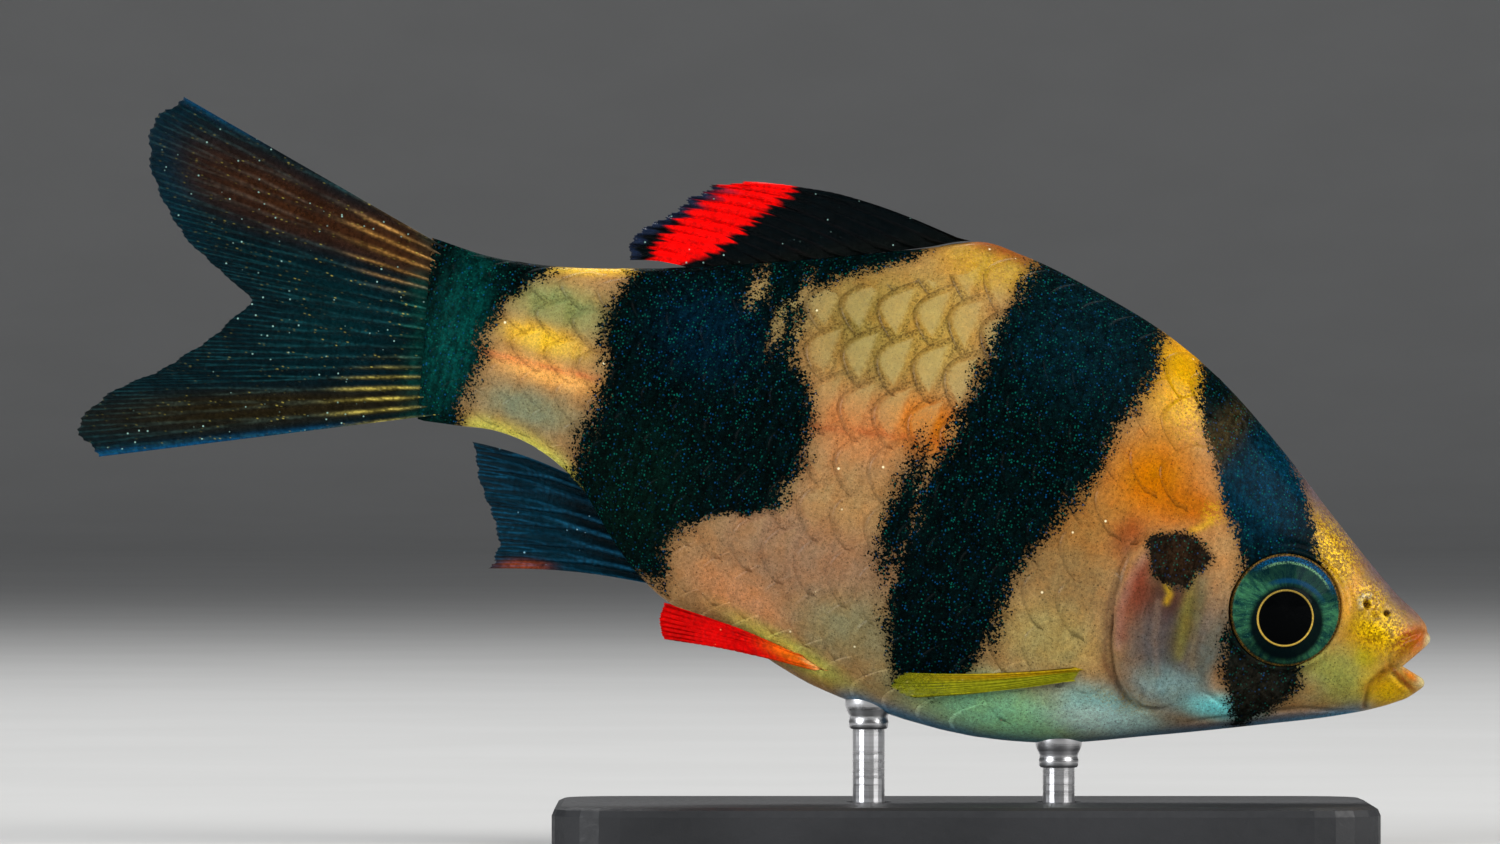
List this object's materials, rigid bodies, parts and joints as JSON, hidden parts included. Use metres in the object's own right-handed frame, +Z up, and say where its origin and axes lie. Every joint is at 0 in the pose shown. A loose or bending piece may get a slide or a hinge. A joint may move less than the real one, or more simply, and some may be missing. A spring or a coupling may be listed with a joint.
{
  "type": "tiger barb model on a display stand",
  "caption": "Life-size still model of a swimming tiger barb, a striped freshwater fish with a forked tail, held nose down on a small flat display stand by short rods.",
  "frame": {"origin": "middle of the whole model's box, at the underside of the stand's base", "axes": "+X towards the fish's head, along its length; +Y towards the fish's left side; +Z up from the floor. The fish swims nose down by 17 degrees."},
  "size_m": [0.0596, 0.02, 0.033],
  "materials": {
    "head": "satin, wet-looking skin",
    "lower_jaw": "satin, wet-looking skin",
    "gill_cover": "satin, wet-looking skin",
    "eye": "clear gloss over iris and pupil",
    "trunk": "satin, wet-looking skin",
    "tail_stem": "satin, wet-looking skin",
    "dorsal_fin": "satin fin membrane with rays",
    "anal_fin": "satin fin membrane with rays",
    "tail_fin": "satin fin membrane with rays",
    "pelvic_fin": "satin fin membrane with rays",
    "pectoral_fin": "satin fin membrane with rays",
    "stand_base": "satin black",
    "stand_rod": "fine satin steel"
  },
  "bodies": {
    "root": {"head": "head", "lower_jaw": "lower_jaw", "gill_cover_left": "gill_cover", "gill_cover_right": "gill_cover", "eye_left": "eye", "eye_right": "eye", "trunk": "trunk", "tail_stem": "tail_stem", "dorsal_fin": "dorsal_fin", "anal_fin": "anal_fin", "tail_fin_upper_lobe": "tail_fin", "tail_fin_lower_lobe": "tail_fin", "pectoral_fin_left": "pectoral_fin", "pectoral_fin_right": "pectoral_fin", "pelvic_fin_left": "pelvic_fin", "pelvic_fin_right": "pelvic_fin", "stand_base": "stand_base", "stand_rod_front": "stand_rod", "stand_rod_rear": "stand_rod"}
  },
  "joints": []
}
